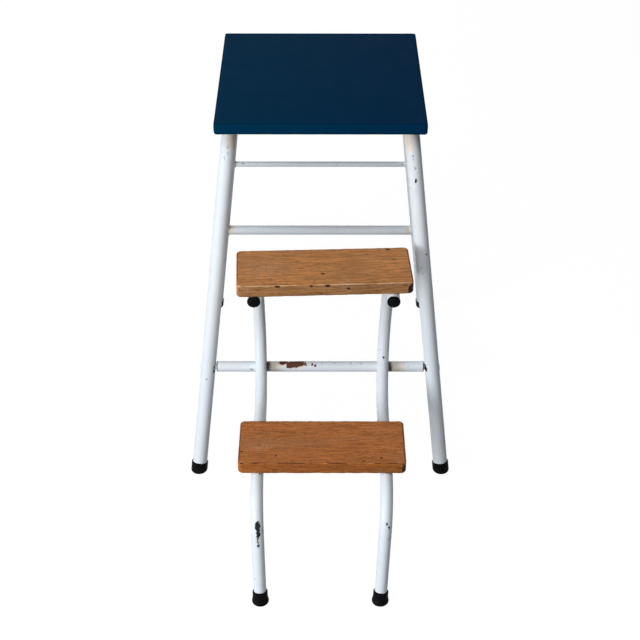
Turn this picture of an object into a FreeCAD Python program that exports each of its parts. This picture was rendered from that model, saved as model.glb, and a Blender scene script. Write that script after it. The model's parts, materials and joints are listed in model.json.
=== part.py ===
import FreeCAD, Part
import math
import os

from FreeCAD import Vector

# Folding step stool chair: a fixed seat on four splayed tube legs, and a two-tread step unit that
# swings out in front of the front legs on a pivot bar. Millimetres, +Z up, -Y is the front, where
# the steps stand. The pieces are laid out about the middle of the four stool feet, and moved along
# Y at the end so that the origin lies under the middle of the whole object.

# Stool: overall sizes
stool_height = 640.0
seat_width = 335.0
seat_depth = 350.0
foot_spread_x = 428.0
foot_spread_y = 515.0
rail_inset = 22.0
rail_length = 270.0

# Seat: plywood board, foam sheet, stapled vinyl
board_thickness = 13.0
padding_thickness = 5.0
cover_thickness = 1.0
cover_lip = 15.0
seat_corner_radius = 6.0
seat_top_rounding = 4.0
seat_bottom_rounding = 1.5
staple_crown = 11.0
staple_leg = 6.0
staple_wire = 0.8
staple_pitch = 42.0
seat_screw_diameter = 5.0
seat_screw_bite = 9.0
seat_screw_spacing = 110.0

# Stool frame: tubes and bars
leg_tube_diameter = 25.0
leg_tube_wall = 1.5
frame_bend_radius = 60.0
crossbar_diameter = 18.0
crossbar_wall = 1.5
crossbar_height = 208.0
rod_diameter = 10.0
rod_height = 373.0
foot_rubber = 1.75
foot_height = 19.0
foot_base = 6.0
foot_edge_radius = 3.0
foot_lip = 1.0

# Pivot: bar, bushes and pins
pivot_height = 199.0
pivot_bar_diameter = 18.0
pivot_bar_wall = 1.5
pin_diameter = 10.0
pin_engagement = 28.0
pin_proud = 0.8
bush_length = 25.0
bush_flange = 1.5
running_clearance = 0.05
end_clearance = 1.0

# Step unit: side tubes, treads, caps and feet
step_tube_diameter = 20.0
step_tube_wall = 1.5
step_spread_at_floor = 190.0
step_spread_slope = 0.040
step_sideways_lean = 0.013
step_reach = 356.0
step_foot_lean = 15.0
lower_bend_radius = 80.0
middle_bend_radius = 120.0
upper_bend_radius = 50.0
weld_saddle = 0.5
tread_thickness = 22.0
tread_depth = 106.0
tread_corner_radius = 8.0
tread_edge_rounding = 3.0
upper_tread_top = 428.0
upper_tread_width = 280.0
upper_tread_reach = 91.0
upper_tread_skew = 2.5
lower_tread_top = 207.0
lower_tread_width = 264.0
lower_tread_reach = 262.0
tread_screw_diameter = 4.5
tread_screw_bite = 14.0
tread_screw_inset = 12.0
cap_diameter = 21.0
cap_rim = 2.0
cap_dome = 5.5
cap_stem = 12.0
cap_stem_chamfer = 1.0
cap_clearance = 0.3
step_foot_rubber = 2.0
step_foot_flare = 13.5
step_foot_height = 20.0
step_foot_base = 6.0
step_foot_edge_radius = 2.5
step_foot_bell_start = 4.0
step_foot_bell_end = 12.0

# Fastener proportions, hole clearance, how far a cut runs past the face it opens, and how nearly
# level an edge is to count as a rim
screw_head_ratio = 2.0
screw_head_height_ratio = 0.6
screw_slot_length_ratio = 0.6
screw_slot_width_ratio = 0.1
screw_hole_clearance = 0.1
overcut = 1.0
level_tolerance = 0.001

# Radii and levels that follow from the sizes above
leg_radius = leg_tube_diameter / 2
rail_spacing = seat_width - 2 * rail_inset
step_radius = step_tube_diameter / 2
bar_radius = pivot_bar_diameter / 2
pin_radius = pin_diameter / 2
board_bottom = stool_height - cover_thickness - padding_thickness - board_thickness
rail_level = board_bottom - leg_radius
upper_tube_level = upper_tread_top - tread_thickness - step_radius
lower_tube_level = lower_tread_top - tread_thickness - step_radius

sides = {"left": -1, "right": 1}
ends = {"front": -1, "rear": 1}


def leg_floor_point(side, end):
    return Vector(side * foot_spread_x / 2, end * foot_spread_y / 2, 0)


def rail_corner(side, end):
    return Vector(side * rail_spacing / 2, end * rail_length / 2, rail_level)


def leg_direction(side, end):
    return (rail_corner(side, end) - leg_floor_point(side, end)).normalize()


def leg_point(side, end, height):
    direction = leg_direction(side, end)
    return leg_floor_point(side, end) + direction * (height / direction.z)


def leg_cylinder(side, end, radius):
    """A solid rod on the axis of a leg, past both of its ends."""
    direction = leg_direction(side, end)
    start = leg_floor_point(side, end) - direction * leg_tube_diameter
    return Part.makeCylinder(radius, stool_height, start, direction)


pivot_y = leg_point(-1, -1, pivot_height).y
pivot_x = leg_point(1, -1, pivot_height).x


def leg_face_offset():
    """Distance along X from a leg's axis to its surface."""
    return leg_radius / math.sqrt(1 - leg_direction(1, -1).x ** 2)


def bar_half_length():
    """The square-cut bar ends stay clear of the leaning legs at their nearest point, the top."""
    direction = leg_direction(1, -1)
    lean = abs(direction.x / direction.z) * bar_radius
    return pivot_x - leg_face_offset() - lean - end_clearance - bush_flange


def rounded_path(points, radii):
    """A wire of straight runs joined by tangent arcs, one radius for each inner point."""
    edges = []
    start = points[0]
    for before, corner, after, radius in zip(points, points[1:], points[2:], radii):
        back = (before - corner).normalize()
        forward = (after - corner).normalize()
        half_angle = back.getAngle(forward) / 2
        tangent = radius / math.tan(half_angle)
        centre = corner + (back + forward).normalize() * (radius / math.sin(half_angle))
        middle = centre + (corner - centre).normalize() * radius
        arc_start = corner + back * tangent
        arc_end = corner + forward * tangent
        edges.append(Part.LineSegment(start, arc_start).toShape())
        edges.append(Part.Arc(arc_start, middle, arc_end).toShape())
        start = arc_end
    edges.append(Part.LineSegment(start, points[-1]).toShape())
    return Part.Wire(edges)


def bent_tube(points, radii, diameter, wall):
    path = rounded_path(points, radii)
    direction = points[1] - points[0]
    rims = [Part.Wire(Part.makeCircle(r, points[0], direction)) for r in (diameter / 2, diameter / 2 - wall)]
    solids = [path.makePipeShell([rim], True, False) for rim in rims]
    return solids[0].cut(solids[1])


def along_x(radius, x_from, x_to, y, z):
    return Part.makeCylinder(radius, x_to - x_from, Vector(x_from, y, z), Vector(1, 0, 0))


def upright(radius, x, y, z_from, z_to):
    return Part.makeCylinder(radius, z_to - z_from, Vector(x, y, z_from), Vector(0, 0, 1))


def placed(shape, origin, direction):
    """Turn a piece made on the Z axis so that it points along a direction from an origin."""
    turned = shape.copy()
    turned.Placement = FreeCAD.Placement(origin, FreeCAD.Rotation(Vector(0, 0, 1), direction))
    return turned


def above_floor(shape):
    box = shape.BoundBox
    box.enlarge(overcut)
    depth = -box.ZMin
    floor = Part.makeBox(box.XLength, box.YLength, depth, Vector(box.XMin, box.YMin, -depth))
    return shape.cut(floor)


def turned_piece(outline):
    """Revolve an outline of radius and height pairs; a triple gives an arc's middle point first."""
    edges = []
    start = Vector(outline[0][0], 0, outline[0][1])
    first = start
    for point in outline[1:]:
        end = Vector(point[-2], 0, point[-1])
        if len(point) == 4:
            edges.append(Part.Arc(start, Vector(point[0], 0, point[1]), end).toShape())
        else:
            edges.append(Part.LineSegment(start, end).toShape())
        start = end
    edges.append(Part.LineSegment(start, first).toShape())
    return Part.Face(Part.Wire(edges)).revolve(Vector(0, 0, 0), Vector(0, 0, 1), 360)


def slab(width, depth, bottom, top, corner, centre_y=0.0):
    """A board with rounded corners in plan."""
    block = Part.makeBox(width, depth, top - bottom, Vector(-width / 2, centre_y - depth / 2, bottom))
    uprights = [e for e in block.Edges if abs(e.tangentAt(e.FirstParameter).z) > 0.9]
    return block.makeFillet(corner, uprights)


def rim_edges(shape, level):
    """The edges that lie wholly at one height."""
    edges = []
    for edge in shape.Edges:
        box = edge.BoundBox
        if max(abs(box.ZMin - level), abs(box.ZMax - level)) < level_tolerance:
            edges.append(edge)
    return edges


def wood_screw(diameter, head_level, tip_level, x, y):
    """A pan-head screw driven upwards, with its head's flat side at head_level."""
    head_radius = diameter * screw_head_ratio / 2
    head_height = diameter * screw_head_height_ratio
    head = upright(head_radius, x, y, head_level - head_height, head_level)
    head = head.makeFillet(head_height / 2, rim_edges(head, head_level - head_height))
    shank = upright(diameter / 2, x, y, head_level, tip_level - diameter)
    tip = Part.makeCone(diameter / 2, 0, diameter, Vector(x, y, tip_level - diameter))
    slot_length = 2 * head_radius * screw_slot_length_ratio
    slot_width = 2 * head_radius * screw_slot_width_ratio
    screw = head.fuse([shank, tip]).removeSplitter()
    slot_corner = Vector(-slot_length / 2, -slot_width / 2, 0)
    for turn in (0, 90):
        slot = Part.makeBox(slot_length, slot_width, head_height / 2, slot_corner)
        slot.rotate(Vector(0, 0, 0), Vector(0, 0, 1), turn)
        slot.translate(Vector(x, y, head_level - head_height))
        screw = screw.cut(slot)
    return screw


# Seat

board_width = seat_width - 2 * cover_thickness
board_depth = seat_depth - 2 * cover_thickness
board_corner = seat_corner_radius - cover_thickness
board_top = board_bottom + board_thickness
padding_top = board_top + padding_thickness
screw_head_level = rail_level - leg_radius


def seat_screw_places():
    return [(side * rail_spacing / 2, end * seat_screw_spacing / 2) for side in (-1, 1) for end in (-1, 1)]


def seat_screw_holes(clearance, bottom, top):
    radius = seat_screw_diameter / 2 + clearance
    return [upright(radius, x, y, bottom, top) for x, y in seat_screw_places()]


def staple_places():
    """Middles of the staples along the turned-in edge of the cover, with the way each one lies."""
    inset = cover_thickness + cover_lip / 2
    places = []
    for length, reach, turned in ((board_width, board_depth, False), (board_depth, board_width, True)):
        count = int((length - 2 * cover_lip) / staple_pitch)
        for k in range(count + 1):
            along = (k - count / 2) * staple_pitch
            for side in (-1, 1):
                across = side * (reach / 2 + cover_thickness - inset)
                places.append((across, along, True) if turned else (along, across, False))
    return places


def staples():
    lip_level = board_bottom - cover_thickness
    solids = []
    for x, y, turned in staple_places():
        crown = Part.makeBox(
            staple_crown, staple_wire, staple_wire, Vector(-staple_crown / 2, -staple_wire / 2, -staple_wire)
        )
        legs = []
        for start in (-staple_crown / 2, staple_crown / 2 - staple_wire):
            corner = Vector(start, -staple_wire / 2, 0)
            legs.append(Part.makeBox(staple_wire, staple_wire, staple_leg, corner))
        staple = crown.fuse(legs).removeSplitter()
        if turned:
            staple.rotate(Vector(0, 0, 0), Vector(0, 0, 1), 90)
        staple.translate(Vector(x, y, lip_level))
        solids.append(staple)
    return Part.makeCompound(solids)


def seat_core():
    """Board and padding together: the space inside the cover."""
    core = slab(board_width, board_depth, board_bottom, padding_top, board_corner)
    return core.makeFillet(seat_top_rounding - cover_thickness, rim_edges(core, padding_top))


def seat_board():
    board = slab(board_width, board_depth, board_bottom, board_top, board_corner)
    tip_level = board_bottom + seat_screw_bite
    holes = seat_screw_holes(0, board_bottom - overcut, tip_level)
    return board.cut(holes).cut(staples())


def seat_padding():
    below = slab(seat_width, seat_depth, board_bottom - overcut, board_top, board_corner)
    return seat_core().cut(below)


def seat_cover():
    cover_bottom = board_bottom - cover_thickness
    outer = slab(seat_width, seat_depth, cover_bottom, stool_height, seat_corner_radius)
    outer = outer.makeFillet(seat_top_rounding, rim_edges(outer, stool_height))
    outer = outer.makeFillet(seat_bottom_rounding, rim_edges(outer, cover_bottom))
    opening_size = (board_width - 2 * cover_lip, board_depth - 2 * cover_lip)
    opening = slab(*opening_size, cover_bottom - overcut, board_bottom + overcut, board_corner)
    return outer.cut([seat_core(), opening]).cut(staples())


def seat_screws():
    tip_level = board_bottom + seat_screw_bite
    solids = []
    for x, y in seat_screw_places():
        solids.append(wood_screw(seat_screw_diameter, screw_head_level, tip_level, x, y))
    return Part.makeCompound(solids)


# Stool frame


def side_frame(side):
    """One inverted U of tube: front leg, top rail and rear leg."""
    points = []
    for end in (-1, 1):
        start = leg_floor_point(side, end) + leg_direction(side, end) * foot_base
        leg = [start, rail_corner(side, end)]
        points += leg if end < 0 else leg[::-1]
    radii = [frame_bend_radius, frame_bend_radius]
    frame = bent_tube(points, radii, leg_tube_diameter, leg_tube_wall)
    inner = pivot_x - leg_tube_diameter
    outer = pivot_x + leg_tube_diameter
    pin_hole = along_x(pin_radius, inner, outer, pivot_y, pivot_height)
    if side < 0:
        pin_hole = pin_hole.mirror(Vector(0, 0, 0), Vector(1, 0, 0))
    screw_holes = seat_screw_holes(screw_hole_clearance, screw_head_level - overcut, board_bottom + overcut)
    return frame.cut([pin_hole] + screw_holes)


def rear_bar(height, diameter, wall):
    """A bar between the rear legs, its ends shaped to the legs; no wall means solid."""
    point = leg_point(1, 1, height)
    bar = along_x(diameter / 2, -point.x, point.x, point.y, height)
    cutters = [leg_cylinder(side, 1, leg_radius) for side in (-1, 1)]
    if wall:
        cutters.append(along_x(diameter / 2 - wall, -point.x, point.x, point.y, height))
    return bar.cut(cutters)


def worn_flat(blank, edge_radius):
    """Cut a rubber foot off at the floor and round the edge that meets it."""
    cut = above_floor(blank)
    return cut.makeFillet(edge_radius, rim_edges(cut, 0))


def foot(side, end):
    """A plain rubber ferrule on a leg, worn flat on the floor."""
    radius = leg_radius + foot_rubber
    outline = [
        (0, -radius),
        (radius, -radius),
        (radius, foot_height - foot_lip),
        (radius - foot_lip, foot_height),
        (0, foot_height),
    ]
    origin = leg_floor_point(side, end)
    direction = leg_direction(side, end)
    blank = placed(turned_piece(outline), origin, direction)
    socket = Part.makeCylinder(leg_radius, foot_height, origin + direction * foot_base, direction)
    return worn_flat(blank, foot_edge_radius).cut(socket)


# Pivot


def pivot_pin(side):
    """A pin driven in from outside through the leg, finished almost flush with it."""
    inner = bar_half_length() - pin_engagement
    pin = along_x(pin_radius, inner, pivot_x, pivot_y, pivot_height)
    outer = along_x(pin_radius, pivot_x, pivot_x + leg_tube_diameter, pivot_y, pivot_height)
    outer = outer.common(leg_cylinder(1, -1, leg_radius + pin_proud))
    pin = pin.fuse(outer).removeSplitter()
    return pin if side > 0 else pin.mirror(Vector(0, 0, 0), Vector(1, 0, 0))


def bar_bush(side):
    """A flanged bush pressed into the end of the pivot bar."""
    end = bar_half_length()
    sleeve = along_x(bar_radius - pivot_bar_wall, end - bush_length, end, pivot_y, pivot_height)
    flange = along_x(bar_radius, end, end + bush_flange, pivot_y, pivot_height)
    inner = end - bush_length - overcut
    outer = end + bush_flange + overcut
    bore = along_x(pin_radius + running_clearance, inner, outer, pivot_y, pivot_height)
    bush = sleeve.fuse(flange).cut(bore)
    return bush if side > 0 else bush.mirror(Vector(0, 0, 0), Vector(1, 0, 0))


def pivot_bar():
    end = bar_half_length()
    bar = along_x(bar_radius, -end, end, pivot_y, pivot_height)
    bore = along_x(bar_radius - pivot_bar_wall, -end - overcut, end + overcut, pivot_y, pivot_height)
    return bar.cut(bore)


# Step unit

upper_tread_front = pivot_y - upper_tread_reach
lower_tread_front = pivot_y - lower_tread_reach
step_tube_end = upper_tread_front
step_foot_y = pivot_y - step_reach
lower_corner_y = step_foot_y + lower_tube_level * math.tan(math.radians(step_foot_lean))


def riser_y():
    """The riser stands where the bend below it lies against the pivot bar."""
    reach = middle_bend_radius + step_radius + bar_radius - weld_saddle
    rise = lower_tube_level + middle_bend_radius - pivot_height
    return pivot_y - math.sqrt(reach ** 2 - rise ** 2) + middle_bend_radius


def step_point(side, y, height):
    """A point on the leaning plane of a side tube; the pair leans slightly to the right."""
    half_spread = step_spread_at_floor / 2 + step_spread_slope * height
    return Vector(side * half_spread + step_sideways_lean * height, y, height)


def step_foot_direction(side):
    start = step_point(side, step_foot_y, 0)
    return (step_point(side, lower_corner_y, lower_tube_level) - start).normalize()


def supported_lengths():
    """Where the straight tube runs under each tread, front and rear, clear of bends and cap stem."""
    upper = (step_tube_end + cap_stem, riser_y() - upper_bend_radius)
    half_angle = math.radians(90 + step_foot_lean) / 2
    lower_bend_end = lower_corner_y + lower_bend_radius / math.tan(half_angle)
    lower = (max(lower_bend_end, lower_tread_front), lower_tread_front + tread_depth)
    return {"upper": upper, "lower": lower}


def tread_screw_places(name):
    level = upper_tube_level if name == "upper" else lower_tube_level
    front, rear = supported_lengths()[name]
    places = []
    for side in (-1, 1):
        for y in (front + tread_screw_inset, rear - tread_screw_inset):
            places.append(step_point(side, y, level))
    return places


def tread_screw_holes(name, radius, bottom, top):
    return [upright(radius, p.x, p.y, p.z + bottom, p.z + top) for p in tread_screw_places(name)]


def step_side(side):
    """One stair-shaped side tube, from the rubber foot up to the capped end."""
    start = step_point(side, step_foot_y, 0) + step_foot_direction(side) * step_foot_base
    points = [
        start,
        step_point(side, lower_corner_y, lower_tube_level),
        step_point(side, riser_y(), lower_tube_level),
        step_point(side, riser_y(), upper_tube_level),
        step_point(side, step_tube_end, upper_tube_level),
    ]
    radii = [lower_bend_radius, middle_bend_radius, upper_bend_radius]
    tube = bent_tube(points, radii, step_tube_diameter, step_tube_wall)
    hole_radius = tread_screw_diameter / 2 + screw_hole_clearance
    holes = []
    for name in ("upper", "lower"):
        holes += tread_screw_holes(name, hole_radius, -step_tube_diameter, step_tube_diameter)
    end = bar_half_length()
    saddle = along_x(bar_radius, -end, end, pivot_y, pivot_height)
    return tube.cut(holes + [saddle])


def tread(name):
    upper = name == "upper"
    width = upper_tread_width if upper else lower_tread_width
    front = upper_tread_front if upper else lower_tread_front
    top = upper_tread_top if upper else lower_tread_top
    bottom = top - tread_thickness
    board = slab(width, tread_depth, bottom, top, tread_corner_radius, front + tread_depth / 2)
    board = board.makeFillet(tread_edge_rounding, rim_edges(board, top) + rim_edges(board, bottom))
    if upper:
        board.rotate(Vector(0, front + tread_depth / 2, 0), Vector(0, 0, 1), upper_tread_skew)
    board.translate(Vector(step_sideways_lean * bottom, 0, 0))
    pilot = tread_screw_holes(name, tread_screw_diameter / 2, 0, step_radius + tread_screw_bite)
    return board.cut(pilot)


def tread_screws(name):
    solids = []
    for p in tread_screw_places(name):
        tip = p.z + step_radius + tread_screw_bite
        solids.append(wood_screw(tread_screw_diameter, p.z - step_radius, tip, p.x, p.y))
    return Part.makeCompound(solids)


def step_foot(side):
    """A bell-shaped rubber foot, worn flat on the floor."""
    neck = step_radius + step_foot_rubber
    bell_middle = (step_foot_bell_start + step_foot_bell_end) / 2
    bell_radius = neck + (step_foot_flare - neck) / 3
    outline = [
        (0, -step_foot_flare),
        (step_foot_flare, -step_foot_flare),
        (step_foot_flare, step_foot_bell_start),
        (bell_radius, bell_middle, neck, step_foot_bell_end),
        (neck, step_foot_height - foot_lip),
        (neck - foot_lip, step_foot_height),
        (0, step_foot_height),
    ]
    origin = step_point(side, step_foot_y, 0)
    direction = step_foot_direction(side)
    blank = placed(turned_piece(outline), origin, direction)
    socket = Part.makeCylinder(step_radius, step_foot_height, origin + direction * step_foot_base, direction)
    return worn_flat(blank, step_foot_edge_radius).cut(socket)


def step_cap(side):
    """A domed bung in the open front end of a side tube, shaved flat under the tread."""
    radius = cap_diameter / 2
    stem_radius = step_radius - step_tube_wall
    outline = [
        (0, -cap_stem),
        (stem_radius - cap_stem_chamfer, -cap_stem),
        (stem_radius, cap_stem_chamfer - cap_stem),
        (stem_radius, 0),
        (radius, 0),
        (radius, cap_rim),
        (radius * math.sqrt(0.5), cap_rim + (cap_dome - cap_rim) / 2, 0, cap_dome),
    ]
    centre = step_point(side, step_tube_end, upper_tube_level)
    cap = placed(turned_piece(outline), centre, Vector(0, -1, 0))
    shave_level = upper_tube_level + step_radius - cap_clearance
    size = 2 * cap_diameter
    corner = Vector(centre.x - cap_diameter, step_tube_end - size, shave_level)
    return cap.cut(Part.makeBox(size, size, size, corner))


def all_pieces():
    pieces = {
        "seat_board": seat_board(),
        "seat_padding": seat_padding(),
        "seat_cover": seat_cover(),
        "seat_staples": staples(),
        "seat_screws": seat_screws(),
        "rear_crossbar": rear_bar(crossbar_height, crossbar_diameter, crossbar_wall),
        "rear_rod": rear_bar(rod_height, rod_diameter, None),
        "pivot_bar": pivot_bar(),
    }
    for side_name, side in sides.items():
        pieces["side_frame_" + side_name] = side_frame(side)
        for end_name, end in ends.items():
            pieces["foot_" + end_name + "_" + side_name] = foot(side, end)
        pieces["pivot_pin_" + side_name] = pivot_pin(side)
        pieces["bar_bush_" + side_name] = bar_bush(side)
        pieces["step_side_" + side_name] = step_side(side)
        pieces["step_foot_" + side_name] = step_foot(side)
        pieces["step_cap_" + side_name] = step_cap(side)
    for name in ("upper", "lower"):
        pieces["tread_" + name] = tread(name)
        pieces["tread_screws_" + name] = tread_screws(name)
    return pieces


def main():
    os.makedirs("parts", exist_ok=True)
    pieces = all_pieces()
    box = Part.makeCompound(list(pieces.values())).optimalBoundingBox(False, False)
    shift = Vector(0, -box.Center.y, 0)
    for name, shape in pieces.items():
        shape.translate(shift)
        shape.exportStep("parts/" + name + ".step")
    print("moved along Y by", round(shift.y, 3), "pivot at", round(pivot_y + shift.y, 3), pivot_height)
    print("side tubes reach the bar at", round(riser_y() + shift.y, 3), "screws", supported_lengths())


main()
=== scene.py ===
import json
import math

import bpy
import numpy as np
from mathutils import Matrix, Vector, noise
from mathutils.bvhtree import BVHTree


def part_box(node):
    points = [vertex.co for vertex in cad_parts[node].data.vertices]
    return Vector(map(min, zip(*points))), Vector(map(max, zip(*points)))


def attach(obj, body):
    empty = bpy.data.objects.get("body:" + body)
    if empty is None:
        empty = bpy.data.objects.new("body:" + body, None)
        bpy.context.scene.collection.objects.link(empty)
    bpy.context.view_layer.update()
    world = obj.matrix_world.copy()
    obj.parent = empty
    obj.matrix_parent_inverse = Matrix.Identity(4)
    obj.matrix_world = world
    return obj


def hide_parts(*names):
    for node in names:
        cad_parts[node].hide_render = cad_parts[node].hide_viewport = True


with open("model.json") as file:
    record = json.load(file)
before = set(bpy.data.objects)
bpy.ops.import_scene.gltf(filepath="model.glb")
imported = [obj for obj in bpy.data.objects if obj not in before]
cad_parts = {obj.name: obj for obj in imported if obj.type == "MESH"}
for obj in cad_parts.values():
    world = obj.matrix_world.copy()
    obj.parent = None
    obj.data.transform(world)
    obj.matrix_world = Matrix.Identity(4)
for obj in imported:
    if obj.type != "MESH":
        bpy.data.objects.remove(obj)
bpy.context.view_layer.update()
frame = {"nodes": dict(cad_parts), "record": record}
nodes = frame["nodes"]

# Camera
IMAGE_SIZE = 640
FOCAL_LENGTH_PX = 1405.0
SENSOR_WIDTH = 36.0
CAMERA_PLACE = Vector((-0.00517, -1.98658, 1.64865))
CAMERA_PITCH = 0.612
CAMERA_YAW = 0.0024
CAMERA_ROLL = 0.002

# Seat
CUSHION_CORNER = 0.0045
CUSHION_EDGE = 0.004
CUSHION_CROWN = 0.0016
CUSHION_UNEVENNESS = 0.0003
SIDE_SWELL = 0.0003
SIDE_BELLY = 0.0005
STAPLE_PULL = 0.0003
PLEATS_AT_CORNER = 5
PLEAT_REACH = 0.16
PLEAT_DEPTH_BELOW = 0.0004
PLEAT_DEPTH_AT_SIDE = 0.0005
COVER_THICKNESS = 0.001
COVER_SHELL = 0.0008
COVER_LIP = 0.015
STAPLE_PITCH = 0.042

# Treads: width and depth, turn seen from above, and how the corners and edges are rounded
TREAD_SIZES = {"upper": (0.280, 0.106, 2.5), "lower": (0.264, 0.106, 0.0)}
TREAD_CORNER = 0.008
TREAD_EDGE = 0.003
TREAD_EDGE_WEAR = 0.0009
TREAD_HOLLOW = 0.0006

# Grids of the shaped pieces: how wide the fine border is, and the spacing in it and between the borders
CUSHION_GRID = (0.024, 0.0015, 0.006)
CUSHION_HEIGHT_GRID = (0.0075, 0.001, 0.0012)
TREAD_WIDTH_GRID = (0.012, 0.0007, 0.0018)
TREAD_DEPTH_GRID = (0.012, 0.0007, 0.0014)
TREAD_HEIGHT_GRID = (0.005, 0.0006, 0.0012)
SAME_PLACE = 1e-6

# Weld beads: their radii, how far their crevice counts as filled, the steps round a ring and round the
# bead itself, and how many steps of a ring make one ripple
BEAD_RADIUS = 0.0019
ROD_BEAD_RADIUS = 0.0015
BEAD_SEAT = 0.8
BAR_END_STEPS = 64
CONTACT_STEPS = 48
BEAD_SIDES = 10
RIPPLE_STEPS = 5
RIPPLE_SWELL = 0.22
BEAD_UNEVENNESS = 0.25

# How the crevice between two round tubes is looked for
CONTACT_SEARCH_STEP = 0.0005
CREVICE_REACH = 0.016
CREVICE_LIFT = 0.012
REACH_HALVINGS = 18
LIFT_HALVINGS = 14


def camera_axes():
    """The camera's right, up and forward directions."""
    cos_pitch = math.cos(CAMERA_PITCH)
    forward = Vector((
        math.sin(CAMERA_YAW) * cos_pitch,
        math.cos(CAMERA_YAW) * cos_pitch,
        -math.sin(CAMERA_PITCH),
    ))
    level_right = Vector((math.cos(CAMERA_YAW), -math.sin(CAMERA_YAW), 0))
    level_up = level_right.cross(forward)
    right = level_right * math.cos(CAMERA_ROLL) + level_up * math.sin(CAMERA_ROLL)
    return right, right.cross(forward), forward


def make_camera():
    data = bpy.data.cameras.new("camera")
    data.sensor_width = SENSOR_WIDTH
    data.lens = FOCAL_LENGTH_PX / IMAGE_SIZE * SENSOR_WIDTH
    camera = bpy.data.objects.new("camera", data)
    bpy.context.scene.collection.objects.link(camera)
    right, up, forward = camera_axes()
    turn = Matrix((right, up, -forward)).transposed().to_4x4()
    camera.matrix_world = Matrix.Translation(CAMERA_PLACE) @ turn
    bpy.context.scene.camera = camera


def surface_of(*names):
    """A tree of the faces of CAD nodes, to measure distances and cast rays on."""
    points = []
    faces = []
    for name in names:
        mesh = nodes[name].data
        start = len(points)
        points += [v.co.copy() for v in mesh.vertices]
        faces += [[start + i for i in p.vertices] for p in mesh.polygons]
    return BVHTree.FromPolygons(points, faces)


def seen_at(tree, pixel):
    """The point of a surface that the camera sees at a pixel of the square picture."""
    right, up, forward = camera_axes()
    across = (pixel[0] - IMAGE_SIZE / 2) / FOCAL_LENGTH_PX
    above = (IMAGE_SIZE / 2 - pixel[1]) / FOCAL_LENGTH_PX
    direction = (forward + right * across + up * above).normalized()
    hit = tree.ray_cast(CAMERA_PLACE, direction)[0]
    if hit is None:
        raise ValueError(f"no surface at pixel {pixel}")
    return hit


class Finish:
    """A procedural material: adds nodes and joins them to its Principled surface."""

    def __init__(self, name):
        self.material = bpy.data.materials.new(name)
        self.material.use_nodes = True
        self.tree = self.material.node_tree
        self.surface = self.tree.nodes["Principled BSDF"]
        self.place = self.add("ShaderNodeTexCoord").outputs["Object"]

    def add(self, kind, **settings):
        node = self.tree.nodes.new(kind)
        for key, value in settings.items():
            setattr(node, key, value)
        return node

    def join(self, value, socket):
        if isinstance(value, bpy.types.NodeSocket):
            self.tree.links.new(value, socket)
        elif socket.type == "RGBA":
            socket.default_value = (*value, 1.0)
        else:
            socket.default_value = value

    def math(self, operation, *values):
        node = self.add("ShaderNodeMath", operation=operation)
        for value, socket in zip(values, node.inputs):
            self.join(value, socket)
        return node.outputs[0]

    def vector(self, operation, first, second, output="Vector"):
        node = self.add("ShaderNodeVectorMath", operation=operation)
        self.join(first, node.inputs[0])
        if second is not None:
            self.join(second, node.inputs[1])
        return node.outputs[output]

    def noise(self, scale, detail=2.0, roughness=0.5, place=None, stretch=None, output="Fac"):
        """Noise over the object; stretch multiplies the coordinates first."""
        place = self.place if place is None else place
        if stretch:
            place = self.vector("MULTIPLY", place, stretch)
        node = self.add("ShaderNodeTexNoise")
        self.join(place, node.inputs["Vector"])
        node.inputs["Scale"].default_value = scale
        node.inputs["Detail"].default_value = detail
        node.inputs["Roughness"].default_value = roughness
        return node.outputs[output]

    def cells(self, scale, output="Distance", place=None):
        node = self.add("ShaderNodeTexVoronoi")
        self.join(self.place if place is None else place, node.inputs["Vector"])
        node.inputs["Scale"].default_value = scale
        return node.outputs[output]

    def step(self, value, low, high):
        """0 at low and 1 at high, smooth between; low may be the larger."""
        node = self.add("ShaderNodeMapRange", interpolation_type="SMOOTHSTEP")
        self.join(value, node.inputs["Value"])
        node.inputs["From Min"].default_value = low
        node.inputs["From Max"].default_value = high
        return node.outputs["Result"]

    def blend(self, factor, first, second):
        """From the first colour to the second."""
        node = self.add("ShaderNodeMix", data_type="RGBA")
        self.join(factor, node.inputs[0])
        self.join(first, node.inputs[6])
        self.join(second, node.inputs[7])
        return node.outputs[2]

    def attribute(self, name):
        return self.add("ShaderNodeAttribute", attribute_name=name).outputs["Fac"]

    def warped(self, amount, scale):
        """The place on the object, shaken by noise so that marks get ragged edges."""
        shake = self.noise(scale, 3.0, 0.6, output="Color")
        centred = self.vector("SUBTRACT", shake, (0.5, 0.5, 0.5))
        moved = self.vector("MULTIPLY", centred, (amount, amount, amount))
        return self.vector("ADD", self.place, moved)

    def mark_distance(self, place, centre, radii):
        """Distance from a mark's centre, in units of its radii."""
        offset = self.vector("SUBTRACT", place, tuple(centre))
        scaled = self.vector("DIVIDE", offset, tuple(radii))
        return self.vector("LENGTH", scaled, None, "Value")

    def set_colour(self, value):
        self.join(value, self.surface.inputs["Base Color"])

    def set_roughness(self, value):
        self.join(value, self.surface.inputs["Roughness"])

    def set_plain(self, **values):
        """Uniform numbers of the surface, written with _ for a space."""
        for key, value in values.items():
            self.surface.inputs[key.replace("_", " ")].default_value = value

    def set_bump(self, height, distance):
        node = self.add("ShaderNodeBump")
        node.inputs["Distance"].default_value = distance
        self.join(height, node.inputs["Height"])
        self.join(node.outputs["Normal"], self.surface.inputs["Normal"])


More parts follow.
